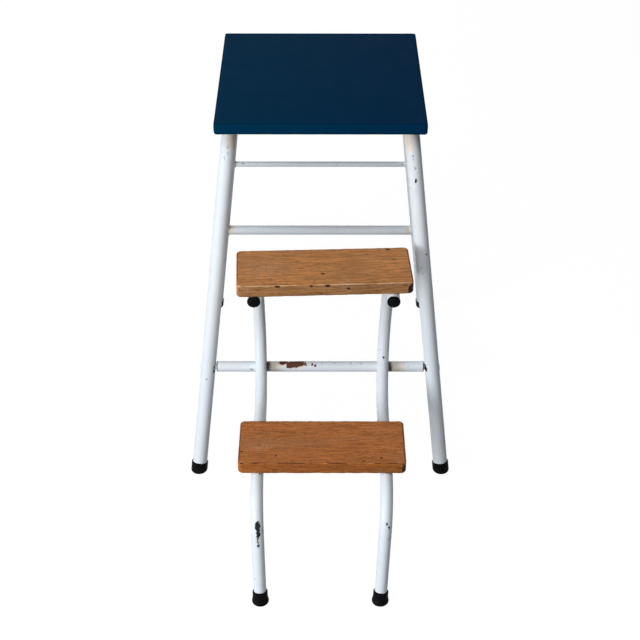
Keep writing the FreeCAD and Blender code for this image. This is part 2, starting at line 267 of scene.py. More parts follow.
# Marks on the paint: what carries each one, the pixel where it shows, and its radii in millimetres
RUST_MARKS = [
    ("pivot_bar", (293.5, 364.6), (12.0, 9.0, 4.6)),
    ("pivot_bar", (290.0, 366.4), (6.0, 9.0, 3.4)),
    ("pivot_bar", (299.5, 363.8), (11.0, 9.0, 2.6)),
    ("pivot_bar", (284.0, 363.2), (9.0, 9.0, 1.6)),
    ("pivot_bar", (305.2, 364.4), (3.0, 9.0, 1.9)),
    ("pivot_bar", (312.1, 364.4), (1.8, 3.0, 1.6)),
    ("pivot_bar", (315.5, 365.5), (2.1, 3.0, 1.8)),
]
# Chips down to dark steel; the four marks on the legs at the pivot bar's ends are painted shadow of the gap
# there
CHIP_AND_GAP_SHADOW_MARKS = [
    ("step_side_left", (257.6, 526.4), (4.4, 9.0, 8.4)),
    ("step_side_left", (258.1, 534.0), (3.1, 9.0, 10.0)),
    ("step_side_left", (258.0, 541.0), (1.3, 9.0, 6.0)),
    ("step_side_left", (258.2, 545.8), (2.0, 9.0, 3.4)),
    ("step_side_right", (387.3, 524.3), (1.5, 3.0, 1.7)),
    ("step_side_right", (389.2, 527.9), (1.2, 3.0, 2.6)),
    ("step_side_right", (383.7, 357.7), (1.5, 3.0, 1.9)),
    ("side_frame_left", (206.6, 379.1), (1.3, 3.0, 1.5)),
    ("side_frame_right", (415.9, 180.5), (1.1, 5.0, 5.4)),
    ("side_frame_right", (426.4, 254.9), (1.2, 4.0, 1.8)),
    # Painted shadow: black on the legs in the gap beside each end of the pivot bar
    ("side_frame_left", (214.2, 367.5), (1.6, 5.0, 3.2)),
    ("side_frame_left", (214.0, 371.5), (1.8, 5.0, 3.6)),
    ("side_frame_right", (426.0, 369.4), (2.6, 6.0, 4.2)),
    ("side_frame_right", (425.2, 366.0), (1.7, 6.0, 4.4)),
]
# Shallow grey scratches and small nicks
SCRATCH_MARKS = [
    ("step_side_right", (388.5, 539.0), (0.9, 3.0, 1.8)),
    ("step_side_right", (385.8, 523.6), (1.2, 3.0, 1.2)),
    ("step_side_right", (380.7, 349.6), (1.2, 3.0, 1.3)),
    ("step_side_left", (262.4, 530.0), (1.0, 4.0, 9.0)),
    ("pivot_bar", (251.5, 369.4), (3.6, 6.0, 2.4)),
    ("pivot_bar", (321.7, 363.3), (1.2, 3.0, 0.9)),
    ("pivot_bar", (334.7, 363.0), (2.4, 3.0, 0.6)),
    ("pivot_bar", (350.8, 362.8), (1.7, 3.0, 0.8)),
    ("pivot_bar", (361.0, 363.2), (2.0, 3.0, 0.6)),
    ("pivot_bar", (404.0, 364.6), (1.3, 3.0, 1.2)),
    ("pivot_bar", (408.2, 366.3), (1.7, 3.0, 1.2)),
    ("side_frame_right", (412.9, 155.8), (1.6, 4.0, 1.7)),
    ("side_frame_right", (413.4, 159.2), (1.2, 4.0, 1.6)),
    ("side_frame_right", (415.3, 168.3), (0.9, 4.0, 3.4)),
    ("side_frame_right", (409.9, 188.4), (1.2, 4.0, 1.4)),
    ("side_frame_right", (421.2, 268.1), (1.4, 3.0, 1.3)),
    ("side_frame_right", (423.2, 274.2), (1.1, 3.0, 1.6)),
    ("side_frame_left", (227.4, 147.6), (1.6, 4.0, 2.0)),
    ("side_frame_left", (227.8, 153.8), (1.0, 4.0, 4.6)),
    ("side_frame_left", (224.3, 157.6), (1.1, 4.0, 4.4)),
    ("rear_rod", (243.2, 163.6), (4.0, 6.0, 1.2)),
    ("rear_rod", (256.7, 164.0), (2.4, 3.0, 0.9)),
    ("rear_rod", (335.5, 165.0), (1.8, 3.0, 0.8)),
    ("rear_rod", (401.6, 164.2), (3.4, 4.0, 1.4)),
]
# Painted shadow and grime: the dark brown patch that each step tube casts on the pivot bar just right of it
TUBE_SHADOW_AND_GRIME_MARKS = [
    ("pivot_bar", (266.5, 366.0), (9.0, 20.0, 20.0)),
    ("pivot_bar", (389.5, 366.5), (6.5, 20.0, 20.0)),
]
# Where the paint has yellowed
CREAM_MARKS = [
    ("pivot_bar", (274.0, 365.0), (24.0, 20.0, 20.0)),
    ("pivot_bar", (296.0, 366.0), (22.0, 20.0, 7.0)),
    ("pivot_bar", (396.0, 366.5), (20.0, 20.0, 20.0)),
    ("rear_crossbar", (231.0, 228.0), (10.0, 20.0, 20.0)),
    ("rear_crossbar", (407.5, 229.0), (10.0, 20.0, 20.0)),
    ("side_frame_right", (408.5, 143.0), (16.0, 30.0, 24.0)),
    ("side_frame_left", (230.5, 141.0), (9.0, 30.0, 22.0)),
]
# Where small specks of chipped paint crowd together
SPECK_AREAS = [
    ("side_frame_right", (413.0, 160.0), (25.0, 40.0, 58.0)),
    ("side_frame_left", (227.5, 153.0), (16.0, 40.0, 28.0)),
    ("rear_rod", (246.0, 163.6), (34.0, 14.0, 9.0)),
    ("step_side_left", (262.0, 530.0), (6.0, 14.0, 26.0)),
    ("step_side_right", (388.6, 523.0), (7.0, 14.0, 12.0)),
]


def marks_mask(finish, place, marks, inner, outer):
    """1 inside any of the marks, falling to 0 between two multiples of their radii."""
    nearest = None
    for node, pixel, radii in marks:
        centre = seen_at(surface_of(node), pixel)
        distance = finish.mark_distance(place, centre, [r / 1000 for r in radii])
        nearest = distance if nearest is None else finish.math("MINIMUM", nearest, distance)
    return finish.step(nearest, outer, inner)


def paint_finish():
    """Old glossy white enamel: uneven, chipped down to dark steel, with rust at the worst places, and
    painted shadow beside the step tubes and in the gaps at the pivot bar's ends.
    """
    finish = Finish("old white enamel")
    ragged = finish.warped(0.0075, 330.0)
    softly_ragged = finish.warped(0.010, 110.0)

    clouds = finish.noise(11.0, 3.0)
    colour = finish.blend(clouds, (0.760, 0.850, 0.935), (0.835, 0.880, 0.915))
    film = finish.step(finish.noise(34.0, 4.0, 0.65), 0.55, 0.80)
    film = finish.math("MULTIPLY", film, 0.14)
    colour = finish.blend(film, colour, (0.62, 0.58, 0.50))

    cream = marks_mask(finish, softly_ragged, CREAM_MARKS, 0.2, 1.0)
    colour = finish.blend(finish.math("MULTIPLY", cream, 0.62), colour, (0.88, 0.74, 0.56))
    # Painted shadow and grime on the pivot bar beside the step tubes
    tube_shadow_and_grime = marks_mask(finish, softly_ragged, TUBE_SHADOW_AND_GRIME_MARKS, 0.35, 1.05)
    colour = finish.blend(finish.math("MULTIPLY", tube_shadow_and_grime, 0.92), colour, (0.060, 0.036, 0.022))

    halo = marks_mask(finish, softly_ragged, RUST_MARKS, 0.9, 1.6)
    colour = finish.blend(finish.math("MULTIPLY", halo, 0.35), colour, (0.70, 0.42, 0.24))
    rust = marks_mask(finish, ragged, RUST_MARKS, 0.92, 1.02)
    rust_tone = finish.blend(finish.noise(700.0, 4.0, 0.7), (0.050, 0.020, 0.014), (0.170, 0.075, 0.048))
    colour = finish.blend(rust, colour, rust_tone)

    scratches = marks_mask(finish, ragged, SCRATCH_MARKS, 0.70, 1.0)
    colour = finish.blend(finish.math("MULTIPLY", scratches, 0.62), colour, (0.16, 0.155, 0.16))
    crowd = marks_mask(finish, softly_ragged, SPECK_AREAS, 0.3, 1.0)
    speck_grains = finish.step(finish.noise(620.0, 3.0, 0.6), 0.64, 0.70)
    colour = finish.blend(finish.math("MULTIPLY", speck_grains, crowd), colour, (0.20, 0.18, 0.17))
    rare_specks = finish.step(finish.noise(300.0, 2.0, 0.5), 0.775, 0.790)
    # The chip marks include painted shadow in the gaps at the pivot bar's ends
    chips_and_gap_shadow = marks_mask(finish, ragged, CHIP_AND_GAP_SHADOW_MARKS, 0.88, 1.0)
    bare = finish.math("MAXIMUM", chips_and_gap_shadow, finish.math("MULTIPLY", rare_specks, 0.7))
    bare_steel_and_gap_shadow_tone = finish.blend(finish.noise(900.0, 2.0), (0.006, 0.006, 0.007), (0.034, 0.032, 0.032))
    colour = finish.blend(bare, colour, bare_steel_and_gap_shadow_tone)
    finish.set_colour(colour)

    # Rust, chips and the painted gap shadow also set roughness and bump
    damage_and_gap_shadow = finish.math("MAXIMUM", rust, bare)
    smooth = finish.step(finish.noise(60.0, 3.0), 0.3, 0.7)
    gloss = finish.math("MULTIPLY_ADD", smooth, 0.10, 0.24)
    finish.set_roughness(finish.math("MULTIPLY_ADD", damage_and_gap_shadow, 0.5, gloss))
    finish.set_plain(Specular_IOR_Level=0.15)
    runs = finish.noise(120.0, 2.0, 0.5, stretch=(1.0, 1.0, 0.35))
    level = finish.math("MULTIPLY_ADD", runs, 0.10, finish.math("MULTIPLY", damage_and_gap_shadow, -1.0))
    finish.set_bump(level, 0.00022)
    return finish.material


def vinyl_finish():
    """Dark blue upholstery vinyl with a fine pressed grain."""
    finish = Finish("blue vinyl")
    clouds = finish.noise(5.0, 2.0)
    colour = finish.blend(clouds, (0.0003, 0.0300, 0.0720), (0.0004, 0.0345, 0.0870))
    sideways = finish.add("ShaderNodeSeparateXYZ")
    finish.join(finish.place, sideways.inputs[0])
    colour = finish.blend(finish.step(sideways.outputs["X"], -0.20, 0.20), colour, (0.0003, 0.0260, 0.0760))
    edge = finish.attribute("edge")
    colour = finish.blend(finish.math("MULTIPLY", edge, 0.35), colour, (0.004, 0.030, 0.060))
    dust = finish.step(finish.noise(160.0, 3.0, 0.7), 0.60, 0.82)
    colour = finish.blend(finish.math("MULTIPLY", dust, 0.12), colour, (0.010, 0.045, 0.085))
    finish.set_colour(colour)
    finish.set_roughness(finish.math("MULTIPLY_ADD", finish.noise(40.0, 3.0), 0.16, 0.44))
    finish.set_plain(Specular_IOR_Level=0.008)
    pebbles = finish.cells(1500.0)
    creases = finish.noise(420.0, 4.0, 0.6)
    finish.set_bump(finish.math("MULTIPLY_ADD", pebbles, -0.6, creases), 0.00012)
    return finish.material


# The wood of each tread: its body colour, how the front face is tinted, and the colour and strength of its
# front arris; the upper tread's light arris is worn wood and partly a painted highlight
WOOD_TONES = {
    "upper": ((0.670, 0.290, 0.098), (0.60, 0.66, 0.76), (0.740, 0.500, 0.300), 0.85),
    "lower": ((0.530, 0.185, 0.052), (0.76, 0.70, 0.56), (0.040, 0.011, 0.004), 0.95),
}


def shaded(colour, amount):
    return tuple(amount * channel for channel in colour)


def wood_finish(name, turn):
    """Worn varnished hardwood with its grain along the tread."""
    body, face_tint, arris_colour, arris_strength = WOOD_TONES[name]
    finish = Finish("worn hardwood " + name)
    mapping = finish.add("ShaderNodeMapping")
    finish.join(finish.place, mapping.inputs["Vector"])
    mapping.inputs["Rotation"].default_value[2] = -math.radians(turn)
    along = mapping.outputs["Vector"]
    sway = finish.noise(6.0, 2.0, place=along, stretch=(1.0, 2.0, 2.0), output="Color")
    sway = finish.vector("MULTIPLY", sway, (0.0, 0.010, 0.010))
    grain_place = finish.vector("ADD", along, sway)

    bands = finish.noise(1.0, 3.0, 0.55, grain_place, (4.0, 90.0, 90.0))
    streaks = finish.noise(1.0, 4.0, 0.65, grain_place, (24.0, 440.0, 440.0))
    fibres = finish.noise(1.0, 3.0, 0.6, grain_place, (60.0, 1500.0, 1500.0))
    colour = finish.blend(finish.step(bands, 0.32, 0.68), shaded(body, 0.92), shaded(body, 1.06))
    light_streaks = finish.math("MULTIPLY", finish.step(streaks, 0.51, 0.60), 0.45)
    colour = finish.blend(light_streaks, colour, shaded(body, 1.50))
    dark_streaks = finish.math("MULTIPLY", finish.step(streaks, 0.49, 0.40), 0.52)
    colour = finish.blend(dark_streaks, colour, shaded(body, 0.50))
    pores = finish.step(fibres, 0.46, 0.34)
    colour = finish.blend(finish.math("MULTIPLY", pores, 0.60), colour, shaded(body, 0.30))
    flecks = finish.step(finish.noise(1.0, 3.0, 0.6, grain_place, (90.0, 380.0, 380.0)), 0.58, 0.66)
    colour = finish.blend(finish.math("MULTIPLY", flecks, 0.60), colour, shaded(body, 0.25))
    nicks = finish.step(finish.noise(1.0, 3.0, 0.6, along, (160.0, 420.0, 420.0)), 0.60, 0.70)
    colour = finish.blend(finish.math("MULTIPLY", nicks, 0.60), colour, (0.560, 0.380, 0.260))

    worn = finish.step(finish.noise(16.0, 4.0, 0.6, along, (0.6, 1.5, 1.5)), 0.50, 0.66)
    colour = finish.blend(finish.math("MULTIPLY", worn, 0.28), colour, (0.370, 0.205, 0.120))
    dirt = finish.step(finish.noise(60.0, 4.0, 0.7, along), 0.62, 0.80)
    colour = finish.blend(finish.math("MULTIPLY", dirt, 0.40), colour, (0.110, 0.055, 0.032))

    front = finish.attribute("front")
    face = finish.step(front, 0.5, 0.95)
    colour = finish.vector("MULTIPLY", colour, finish.blend(face, (1, 1, 1), face_tint))
    rim = finish.step(finish.attribute("rim"), 0.50, 0.85)
    rim = finish.math("MULTIPLY", rim, finish.step(finish.noise(80.0, 3.0), 0.25, 0.50))
    colour = finish.blend(rim, colour, (0.090, 0.043, 0.022))

    arris = finish.step(finish.attribute("edge"), 0.25, 0.95)
    broken = finish.step(finish.noise(70.0, 3.0, 0.6, along, (0.6, 1.0, 1.0)), 0.42, 0.56)
    broken_arris = finish.math("MULTIPLY", arris, broken)
    front_arris = finish.math("MULTIPLY", broken_arris, finish.step(front, 0.2, 0.5))
    # On the upper tread this light arris line is worn wood and partly a painted highlight along the rounded
    # front edge
    colour = finish.blend(finish.math("MULTIPLY", front_arris, arris_strength), colour, arris_colour)
    powder = finish.step(finish.noise(420.0, 4.0, 0.7, along), 0.46, 0.66)
    scuff = finish.math("MULTIPLY", finish.attribute("scuff"), powder)
    colour = finish.blend(finish.math("MULTIPLY", scuff, 0.50), colour, (0.580, 0.430, 0.320))
    # Near black: stains, and painted shade at the treads' right-front corners
    stain_and_shade = finish.attribute("stain_and_shade")
    colour = finish.blend(finish.step(stain_and_shade, 0.05, 0.45), colour, (0.014, 0.008, 0.006))
    dents = finish.attribute("dent")
    colour = finish.blend(finish.step(dents, 0.10, 0.50), colour, (0.030, 0.013, 0.010))
    finish.set_colour(colour)

    bare = finish.math("MAXIMUM", worn, arris)
    finish.set_roughness(finish.math("MULTIPLY_ADD", bare, 0.20, 0.45))
    finish.set_plain(Specular_IOR_Level=0.10)
    relief = finish.math("MULTIPLY_ADD", pores, -1.0, streaks)
    finish.set_bump(relief, 0.00018)
    return finish.material


def plywood_finish():
    finish = Finish("birch plywood")
    bands = finish.noise(1.0, 4.0, 0.6, stretch=(4.0, 60.0, 60.0))
    fibres = finish.noise(1.0, 3.0, 0.6, stretch=(30.0, 900.0, 900.0))
    colour = finish.blend(finish.step(bands, 0.3, 0.7), (0.50, 0.34, 0.19), (0.62, 0.46, 0.29))
    pores = finish.math("MULTIPLY", finish.step(fibres, 0.45, 0.3), 0.4)
    colour = finish.blend(pores, colour, (0.33, 0.20, 0.10))
    stains = finish.step(finish.noise(9.0, 4.0, 0.6), 0.52, 0.75)
    colour = finish.blend(finish.math("MULTIPLY", stains, 0.4), colour, (0.30, 0.22, 0.15))
    finish.set_colour(colour)
    finish.set_roughness(finish.math("MULTIPLY_ADD", bands, 0.2, 0.6))
    finish.set_plain(Specular_IOR_Level=0.2)
    finish.set_bump(fibres, 0.0002)
    return finish.material


def rubber_finish():
    """Black moulded rubber, dusty low down and scuffed."""
    finish = Finish("black rubber")
    clouds = finish.noise(70.0, 3.0)
    colour = finish.blend(clouds, (0.0025, 0.0025, 0.0032), (0.0075, 0.0075, 0.0085))
    height = finish.add("ShaderNodeSeparateXYZ")
    finish.join(finish.place, height.inputs[0])
    low = finish.step(height.outputs["Z"], 0.012, 0.001)
    dust = finish.step(finish.noise(260.0, 4.0, 0.7), 0.42, 0.72)
    dust = finish.math("MULTIPLY", dust, finish.math("MULTIPLY_ADD", low, 0.22, 0.05))
    colour = finish.blend(dust, colour, (0.060, 0.057, 0.054))
    finish.set_colour(colour)
    finish.set_roughness(finish.math("MULTIPLY_ADD", dust, 0.5, 0.46))
    finish.set_plain(Specular_IOR_Level=0.02)
    finish.set_bump(finish.noise(900.0, 3.0), 0.00010)
    return finish.material


def nylon_finish():
    finish = Finish("black nylon")
    colour = finish.blend(finish.noise(220.0, 3.0), (0.008, 0.008, 0.009), (0.022, 0.022, 0.023))
    finish.set_colour(colour)
    finish.set_roughness(finish.math("MULTIPLY_ADD", finish.noise(300.0), 0.15, 0.38))
    finish.set_plain(Specular_IOR_Level=0.30)
    finish.set_bump(finish.noise(1200.0), 0.00006)
    return finish.material


def foam_finish():
    finish = Finish("foam sheet")
    colour = finish.blend(finish.noise(60.0, 3.0), (0.66, 0.55, 0.32), (0.78, 0.68, 0.42))
    finish.set_colour(colour)
    finish.set_roughness(finish.math("MULTIPLY_ADD", finish.noise(500.0), 0.1, 0.85))
    finish.set_bump(finish.cells(1800.0), 0.0003)
    return finish.material


def steel_finish():
    """Zinc-plated steel, dulled in patches."""
    finish = Finish("zinc-plated steel")
    patches = finish.step(finish.noise(240.0, 4.0, 0.65), 0.40, 0.68)
    colour = finish.blend(patches, (0.56, 0.56, 0.55), (0.30, 0.28, 0.25))
    finish.set_colour(colour)
    finish.set_roughness(finish.math("MULTIPLY_ADD", patches, 0.30, 0.28))
    finish.set_plain(Metallic=0.9)
    finish.set_bump(finish.noise(1500.0, 2.0), 0.00005)
    return finish.material


def make_finishes():
    """One material for each of the record's slots."""
    paint = paint_finish()
    return {
        "frame_paint": paint,
        "pin_steel": paint,
        "seat_vinyl": vinyl_finish(),
        "foam": foam_finish(),
        "plywood": plywood_finish(),
        "tread_wood": wood_finish("lower", 0.0),
        "rubber": rubber_finish(),
        "nylon": nylon_finish(),
        "steel": steel_finish(),
    }


def dress_cad_nodes(finishes):
    for subpart in frame["record"]["subparts"]:
        for slot in nodes[subpart["node"]].material_slots:
            slot.material = finishes[subpart["material_slot"]]


def new_piece(name, mesh, finish, body):
    mesh.materials.append(finish)
    mesh.shade_smooth()
    piece = bpy.data.objects.new(name, mesh)
    bpy.context.scene.collection.objects.link(piece)
    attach(piece, body)
    return piece


def graded(half, edge, fine, coarse):
    """Grid lines from -half to half, closer together near both ends."""
    rim = np.linspace(0, edge, round(edge / fine) + 1)
    inner_half = half - edge
    middle = np.linspace(-inner_half, inner_half, round(2 * inner_half / coarse) + 1)
    return np.concatenate([rim - half, middle[1:-1], half - rim[::-1]])


def box_grid(xs, ys, zs):
    """The six faces of a box as one closed grid: its points and its four-sided faces."""
    lines = (xs, ys, zs)
    index = {}
    points = []
    faces = []

    def vertex(key):
        if key not in index:
            index[key] = len(points)
            points.append([lines[axis][k] for axis, k in enumerate(key)])
        return index[key]

    for axis in range(3):
        u, v = (axis + 1) % 3, (axis + 2) % 3
        for end in (0, len(lines[axis]) - 1):
            for i in range(len(lines[u]) - 1):
                for j in range(len(lines[v]) - 1):
                    corners = []
                    for di, dj in ((0, 0), (1, 0), (1, 1), (0, 1)):
                        key = [0, 0, 0]
                        key[axis] = end
                        key[u] = i + di
                        key[v] = j + dj
                        corners.append(vertex(tuple(key)))
                    faces.append(corners if end else corners[::-1])
    return np.array(points), faces


def rounded_slab(points, half, corner, edge):
    """Round a box's upright corners and its long edges.

    Gives the points, the outward direction at each, and how near each lies to an edge, 0 to 1.
    """
    flat = points[:, :2]
    inner = np.clip(flat, -(half[:2] - corner), half[:2] - corner)
    offset = flat - inner
    reach = np.abs(offset).max(1)
    length = np.linalg.norm(offset, axis=1)
    outward = offset / np.where(length > 0, length, 1.0)[:, None]
    side = np.clip((edge - (corner - reach)) / edge, 0, 1)
    level = np.clip((edge - (half[2] - np.abs(points[:, 2]))) / edge, 0, 1)
    both = (side > 0) & (level > 0)
    shrink = np.where(both, np.hypot(side, level), 1.0)
    side_turned = side / shrink
    level_turned = level / shrink
    reach = np.where(side > 0, corner - edge * (1 - side_turned), reach)
    placed = points.copy()
    placed[:, :2] = inner + outward * reach[:, None]
    rise = np.where(level > 0, half[2] - edge * (1 - level_turned), np.abs(points[:, 2]))
    placed[:, 2] = np.sign(points[:, 2]) * rise
    upright = np.sign(points[:, 2]) * level_turned
    normal = np.column_stack([outward * side_turned[:, None], upright])
    size = np.linalg.norm(normal, axis=1)
    normal = normal / np.where(size > 0, size, 1.0)[:, None]
    return placed, normal, np.minimum(side, level)


def noise_at(points, scale, seed):
    """Smooth noise from -1 to 1 at each point."""
    shift = Vector((seed, 2.0 * seed, 3.0 * seed))
    return np.array([noise.noise(Vector(p) * scale + shift) for p in points])


def store(mesh, name, values):
    """Keep a number at each vertex for the material."""
    layer = mesh.attributes.new(name, "FLOAT", "POINT")
    layer.data.foreach_set("value", np.asarray(values, np.float32))


def seat_cushion(finish):
    """The vinyl cover pulled round foam and board, turned in and stapled below."""
    low, high = (np.array(corner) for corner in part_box("seat_cover"))
    half = (high - low) / 2
    centre = (high + low) / 2
    xs = graded(half[0], *CUSHION_GRID)
    ys = graded(half[1], *CUSHION_GRID)
    zs = graded(half[2], *CUSHION_HEIGHT_GRID)
    points, faces = box_grid(xs, ys, zs)
    box_points = points.copy()
    points, normal, edge = rounded_slab(points, half, CUSHION_CORNER, CUSHION_EDGE)

    across = np.abs(points[:, 0]) / half[0]
    along = np.abs(points[:, 1]) / half[1]
    is_top = box_points[:, 2] >= half[2] - SAME_PLACE
    is_below = box_points[:, 2] <= -half[2] + SAME_PLACE
    dome = (1 - across ** 4) * (1 - along ** 4)
    soft = noise_at(points, 9.0, 3.1)
    lift = CUSHION_CROWN * (dome - 1) + CUSHION_UNEVENNESS * soft * dome
    points[:, 2] += np.where(is_top, lift, 0)

    upward = np.clip((points[:, 2] + half[2]) / (2 * half[2]), 0, 1)
    belly = np.sin(np.pi * upward)
    run = np.where(across > along, points[:, 1], points[:, 0])
    pull = np.cos(2 * np.pi * run / STAPLE_PITCH)
    is_side = ~is_top & ~is_below
    swell = SIDE_SWELL + SIDE_BELLY * belly - STAPLE_PULL * (1 - upward) * (1 + pull) / 2
    points += normal * np.where(is_side, swell, 0)[:, None]

    corner_near = np.clip(1 - (2.0 - across - along) / PLEAT_REACH, 0, 1)
    angle = np.arctan2(half[1] * 0.9 - np.abs(points[:, 1]), half[0] * 0.9 - np.abs(points[:, 0]))
    pleat = np.abs(np.sin(PLEATS_AT_CORNER * angle)) * corner_near
    points[:, 2] -= np.where(is_below, PLEAT_DEPTH_BELOW * pleat, 0)
    side_pleat = PLEAT_DEPTH_AT_SIDE * pleat * (1 - upward)
    points += normal * np.where(is_side, side_pleat, 0)[:, None]

    opening = half[:2] - COVER_THICKNESS - COVER_LIP
    inside = is_below & (np.abs(box_points[:, 0]) < opening[0] - SAME_PLACE)
    inside &= np.abs(box_points[:, 1]) < opening[1] - SAME_PLACE
    kept = [face for face in faces if not all(inside[i] for i in face)]
    used = sorted({i for face in kept for i in face})
    renumber = {old: new for new, old in enumerate(used)}

    mesh = bpy.data.meshes.new("seat_cushion")
    place = points[used] + centre
    mesh.from_pydata(place.tolist(), [], [[renumber[i] for i in face] for face in kept])
    store(mesh, "edge", edge[used])
    piece = new_piece("seat_cushion", mesh, finish, "stool_frame")
    shell = piece.modifiers.new("cover thickness", "SOLIDIFY")
    shell.thickness = COVER_SHELL
    shell.offset = -1.0
    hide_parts("seat_cover", "seat_padding")


# Dents in the treads: the pixel where each shows, its half length and half width, and its depth, in
# millimetres
TREAD_DENTS = {
    "upper": [
        ((323.0, 273.3), 4.2, 2.2, 1.0),
        ((388.0, 249.4), 4.4, 2.2, 0.9),
        ((296.4, 260.9), 1.6, 1.2, 0.6),
        ((328.0, 286.0), 5.0, 1.6, 1.1),
        ((311.5, 286.0), 2.4, 1.4, 0.9),
        ((277.6, 286.8), 5.2, 1.4, 0.9),
        ((348.5, 288.6), 2.6, 1.3, 0.8),
        ((367.0, 254.5), 3.2, 0.9, 0.5),
    ],
    "lower": [
        ((363.5, 460.8), 3.6, 1.4, 0.9),
        ((381.5, 457.8), 2.6, 1.8, 0.9),
        ((275.6, 455.6), 1.8, 1.4, 0.7),
        ((241.6, 451.5), 3.0, 1.4, 0.7),
        ((328.0, 462.0), 3.4, 0.9, 0.5),
    ],
}
# Powdery scuffs: the pixel, half length and half width in millimetres
TREAD_SCUFFS = {
    "upper": [((345.5, 283.5), 16.0, 11.0), ((266.0, 268.5), 50.0, 34.0), ((247.0, 289.5), 12.0, 8.0)],
    "lower": [((258.0, 447.0), 30.0, 16.0)],
}
# Black stains and painted shade: the dark right-front corner of each tread is painted shade, and the thin
# mark at the lower tread's left end is a stain. Each has the pixel and the three radii in millimetres
TREAD_STAINS_AND_SHADE = {
    "upper": [((411.6, 289.0), (6.5, 8.0, 11.0))],
    "lower": [((404.4, 468.5), (4.2, 7.0, 10.0)), ((241.0, 463.6), (5.0, 2.5, 0.8))],
}
# How far a dent reaches down a face for its half width, how steep its bowl is, and how wide the dark rim
# round a tread's top is
DENT_DROP = 1.6
DENT_STEEPNESS = 0.7
RIM_WIDTH = 0.008


def nearness(points, spot, radii):
    """1 at a spot, falling to 0 at its radii, which are in millimetres."""
    away = (points - spot) / (np.array(radii) / 1000)
    return np.clip(1 - (away ** 2).sum(1), 0, 1)


def worn_tread(name, finish):
    """A hardwood tread with worn edges, dents and a slightly hollowed top."""
    low, high = (np.array(corner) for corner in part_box("tread_" + name))
    centre = (high + low) / 2
    width, depth, turn = TREAD_SIZES[name]
    half = np.array([width / 2, depth / 2, (high[2] - low[2]) / 2])
    xs = graded(half[0], *TREAD_WIDTH_GRID)
    ys = graded(half[1], *TREAD_DEPTH_GRID)
    zs = graded(half[2], *TREAD_HEIGHT_GRID)
    points, faces = box_grid(xs, ys, zs)
    is_top = points[:, 2] >= half[2] - SAME_PLACE
    points, normal, edge = rounded_slab(points, half, TREAD_CORNER, TREAD_EDGE)

    wear = np.clip(noise_at(points, 70.0, 1.7) + 0.5 * noise_at(points, 210.0, 5.3) + 0.25, 0, 1)
    points -= normal * (TREAD_EDGE_WEAR * wear * edge)[:, None]
    hollow = (1 - (points[:, 0] / half[0]) ** 2) * (1 - (points[:, 1] / half[1]) ** 2)
    points[:, 2] -= np.where(is_top, TREAD_HOLLOW * np.clip(hollow, 0, 1), 0)

    turned = Matrix.Rotation(math.radians(turn), 3, "Z")
    to_local = np.array(turned.transposed())
    tree = surface_of("tread_" + name)

    def spot_at(pixel):
        return to_local @ (np.array(seen_at(tree, pixel)) - centre)

    dents = np.zeros(len(points))
    for pixel, half_length, half_width, dent_depth in TREAD_DENTS[name]:
        radii = (half_length, half_width, half_width * DENT_DROP)
        bowl = nearness(points, spot_at(pixel), radii) ** DENT_STEEPNESS
        points -= normal * (bowl * dent_depth / 1000)[:, None]
        dents = np.maximum(dents, bowl)
    scuffs = np.zeros(len(points))
    for pixel, half_length, half_width in TREAD_SCUFFS[name]:
        radii = (half_length, half_width, half_width)
        scuffs = np.maximum(scuffs, nearness(points, spot_at(pixel), radii))
    # The right-front corner marks are painted shade; the mark at the lower tread's left end is a stain
    stains = np.zeros(len(points))
    for pixel, radii in TREAD_STAINS_AND_SHADE[name]:
        stains = np.maximum(stains, nearness(points, spot_at(pixel), radii))
    to_edge = (half[:2] - np.abs(points[:, :2])).min(1)

    mesh = bpy.data.meshes.new("worn_tread_" + name)
    place = points @ np.array(turned).T + centre
    mesh.from_pydata(place.tolist(), [], faces)
    store(mesh, "edge", edge)
    store(mesh, "dent", dents)
    store(mesh, "scuff", scuffs)
    store(mesh, "stain_and_shade", stains)
    faces_back = is_top & (normal[:, 1] > -0.3)
    store(mesh, "rim", np.where(faces_back, np.clip(1 - to_edge / RIM_WIDTH, 0, 1), 0))
    store(mesh, "front", np.clip(-normal[:, 1], 0, 1))
    piece = new_piece("worn_tread_" + name, mesh, finish, "step_unit")
    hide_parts("tread_" + name)


def bead_along(name, ring, radius, finish, body):
    """A rippled weld bead on a closed ring of points."""
    count = len(ring)
    points = []
    for k in range(count):
        ahead = (ring[(k + 1) % count] - ring[k - 1]).normalized()
        across = ahead.orthogonal().normalized()
        other = ahead.cross(across)
        ripple = RIPPLE_SWELL * math.sin(2 * math.pi * k / RIPPLE_STEPS)
        swell = 1 + ripple + BEAD_UNEVENNESS * noise.noise(ring[k] * 160)
        for s in range(BEAD_SIDES):
            angle = 2 * math.pi * s / BEAD_SIDES
            points.append(ring[k] + (across * math.cos(angle) + other * math.sin(angle)) * radius * swell)
    faces = []
    for k in range(count):
        for s in range(BEAD_SIDES):
            next_s = (s + 1) % BEAD_SIDES
            here = k * BEAD_SIDES
            there = (k + 1) % count * BEAD_SIDES
            faces.append([here + s, here + next_s, there + next_s, there + s])
    mesh = bpy.data.meshes.new(name)
    mesh.from_pydata([p[:] for p in points], [], faces)
    return new_piece(name, mesh, finish, body)


def bar_end_ring(bar, leg, side):
    """Where the surface of a bar along X meets a leg: a closed ring of points."""
    low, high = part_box(bar)
    radius = (high.z - low.z) / 2
    middle_y = (low.y + high.y) / 2
    middle_z = (low.z + high.z) / 2
    tree = surface_of(leg)
    ring = []
    for k in range(BAR_END_STEPS):
        angle = 2 * math.pi * k / BAR_END_STEPS
        start = Vector((0, middle_y + radius * math.cos(angle), middle_z + radius * math.sin(angle)))
        hit = tree.ray_cast(start, Vector((side, 0, 0)))[0]
        if hit is None:
            raise ValueError(f"{bar} doesn't point at {leg}")
        ring.append(hit)
    return ring


def square_axes(direction):
    """Two directions square to a given one; the first lies along X as nearly as it can."""
    first = (Vector((1, 0, 0)) - direction * direction.x).normalized()
    return first, direction.cross(first)


